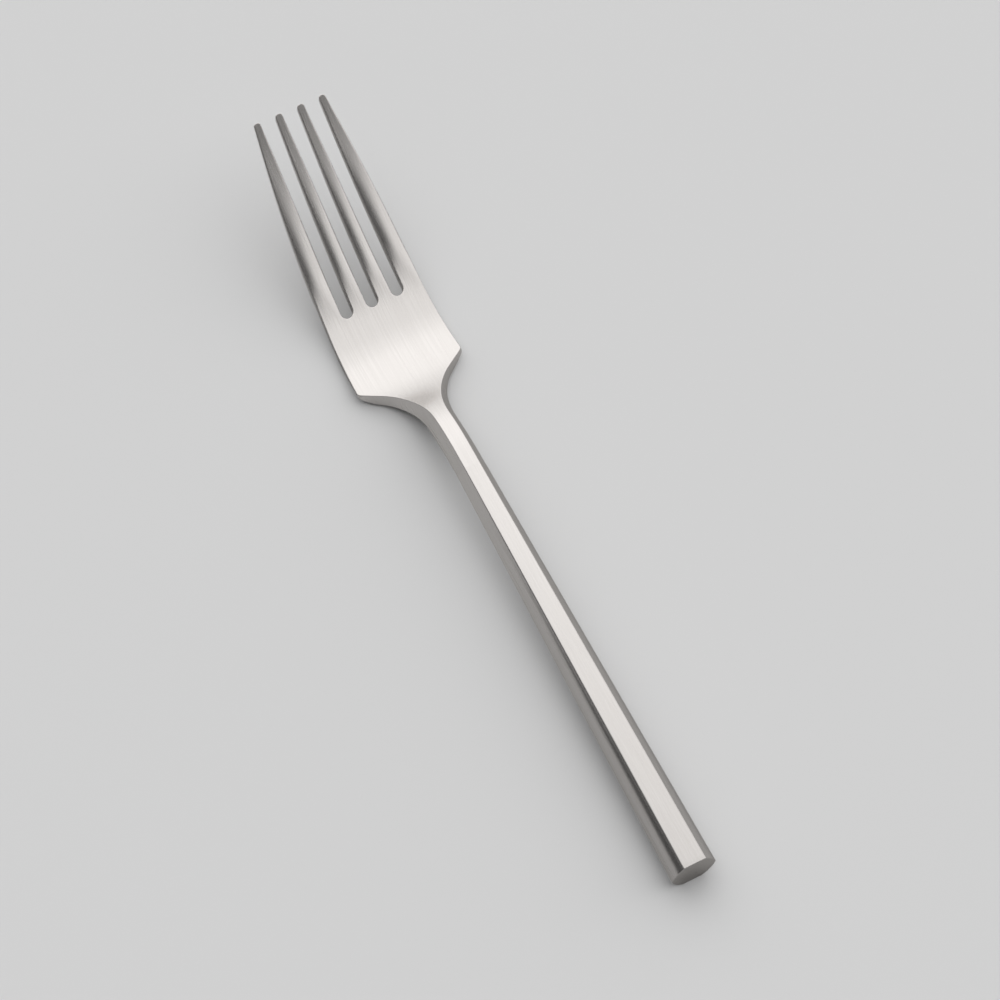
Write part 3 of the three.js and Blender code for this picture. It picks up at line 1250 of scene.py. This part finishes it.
@dataclass
class Studio:
    """Table, surroundings, lamps and camera. Metres, with the surroundings' light as plain strengths.

    Attributes:
        table_shine: Strength of the table's reflections.
        room: Light of the dim room all round.
        tent: Light of the tent's cloth.
        tent_axis: Direction of the tent's middle.
        tent_edge: Cosines from the tent's middle at which the room ends and the full tent starts.
        tent_foot: Heights of the view at which the tent starts and is full.
        walls: Light of the paler walls.
        wall_axis: Direction across which the walls are a band.
        wall_foot, wall_top: Cosines from that direction at which the band is dark and full.
        lens, sensor: Focal length and film width of the camera, in millimetres.
    """

    table_size: float = 6.0
    table_colour: Triple = (0.63, 0.63, 0.63)
    table_roughness: float = 0.95
    table_shine: float = 0.1
    room: Triple = (0.08, 0.08, 0.08)
    tent: Triple = (1.44, 1.44, 1.44)
    tent_axis: Triple = (0.5, -0.42, 0.757)
    tent_edge: Pair = (0.41, 0.49)
    tent_foot: Pair = (-0.3, -0.05)
    walls: Triple = (0.36, 0.36, 0.365)
    wall_axis: Triple = (0.0, -0.35, 0.94)
    wall_foot: Pair = (-0.1, 0.15)
    wall_top: Pair = (0.55, 0.35)
    camera_place: Triple = (-0.28935, 0.19085, 0.83568)
    camera_right: Triple = (-0.46701, -0.88315, 0.04405)
    camera_up: Triple = (0.82439, -0.41683, 0.38293)
    lens: float = 156.15
    sensor: float = 36.0
    lamps: tuple[SoftLight, ...] = (
        SoftLight("key_box", (1.0, -0.42, 1.25), 1.1, 0.75),
        SoftLight("key_rim", (1.0, -0.42, 1.26), 1.8, 1.7),
    )

    def table(self) -> None:
        """Lays the table top under the fork."""
        half = self.table_size / 2
        corners = [(-half, -half, 0), (half, -half, 0), (half, half, 0), (-half, half, 0)]
        mesh = bpy.data.meshes.new("table")
        mesh.from_pydata(corners, [], [(0, 1, 2, 3)])
        table = bpy.data.objects.new("table", mesh)
        bpy.context.scene.collection.objects.link(table)
        material = bpy.data.materials.new("pale_table")
        nodes = NodeTree.emptied(material)
        shader = nodes.add(
            "ShaderNodeBsdfPrincipled", Base_Color=(*self.table_colour, 1),
            Roughness=self.table_roughness, Specular_IOR_Level=self.table_shine,
        )
        nodes.add("ShaderNodeOutputMaterial", Surface=shader.outputs["BSDF"])
        mesh.materials.append(material)

    def world(self) -> None:
        """Makes the surroundings: a pale light tent, eased into a dim room with paler walls."""
        world = bpy.data.worlds.new("light_tent")
        nodes = NodeTree.emptied(world)
        towards = nodes.add("ShaderNodeTexCoord").outputs["Generated"]
        height = nodes.add("ShaderNodeSeparateXYZ", Vector=towards).outputs["Z"]

        def facing(axis: Triple) -> bpy.types.NodeSocket:
            """Returns the cosine between the view and an axis."""
            return nodes.add(
                "ShaderNodeVectorMath", {"operation": "DOT_PRODUCT"}, _0=towards, _1=axis).outputs["Value"]

        def eased(value: bpy.types.NodeSocket, ends: Pair) -> bpy.types.NodeSocket:
            """Goes smoothly from 0 at the first end to 1 at the second.

            Args:
                value: The value to ease.
                ends: Where it starts and where it is full.

            Returns:
                The eased value's socket.
            """
            step = nodes.add(
                "ShaderNodeMapRange", {"interpolation_type": "SMOOTHSTEP"},
                Value=value, From_Min=ends[0], From_Max=ends[1],
            )
            return step.outputs["Result"]

        tented = nodes.math(
            "MULTIPLY", eased(facing(self.tent_axis), self.tent_edge), eased(height, self.tent_foot))
        across = facing(self.wall_axis)
        band = nodes.math("MULTIPLY", eased(across, self.wall_foot), eased(across, self.wall_top))
        room = nodes.blend(band, (*self.room, 1), (*self.walls, 1))
        shader = nodes.add("ShaderNodeBackground", Color=nodes.blend(tented, room, (*self.tent, 1)))
        nodes.add("ShaderNodeOutputWorld", Surface=shader.outputs["Background"])
        bpy.context.scene.world = world

    def camera(self) -> None:
        """Places the camera by its own axes."""
        data = bpy.data.cameras.new("camera")
        data.sensor_width, data.lens = self.sensor, self.lens
        camera = bpy.data.objects.new("camera", data)
        right, up = Vector(self.camera_right).normalized(), Vector(self.camera_up).normalized()
        turn = Matrix((right, up, right.cross(up))).transposed().to_4x4()
        camera.matrix_world = Matrix.Translation(self.camera_place) @ turn
        bpy.context.scene.collection.objects.link(camera)
        bpy.context.scene.camera = camera

    def build(self) -> None:
        """Builds the whole studio."""
        self.table()
        self.world()
        self.camera()
        for lamp in self.lamps:
            lamp.build()
        bpy.context.scene.view_settings.view_transform = "Standard"


def main() -> None:
    """Builds the fork piece by piece, then the studio round it."""
    logging.basicConfig(level=logging.INFO, format="%(name)s %(message)s")
    sizes = ForkSizes()
    case = HandleCase(sizes)
    ForkHead(sizes).build(BrushedSteel("brushed_head", rise=0.05).material())
    case.build(BrushedSteel("brushed_handle").material())
    EndCap(case).build(BrushedSteel("brushed_cap").material())
    Filler().build(SetCement().material())
    Studio().build()
    bpy.context.view_layer.update()


if __name__ == "__main__":
    main()
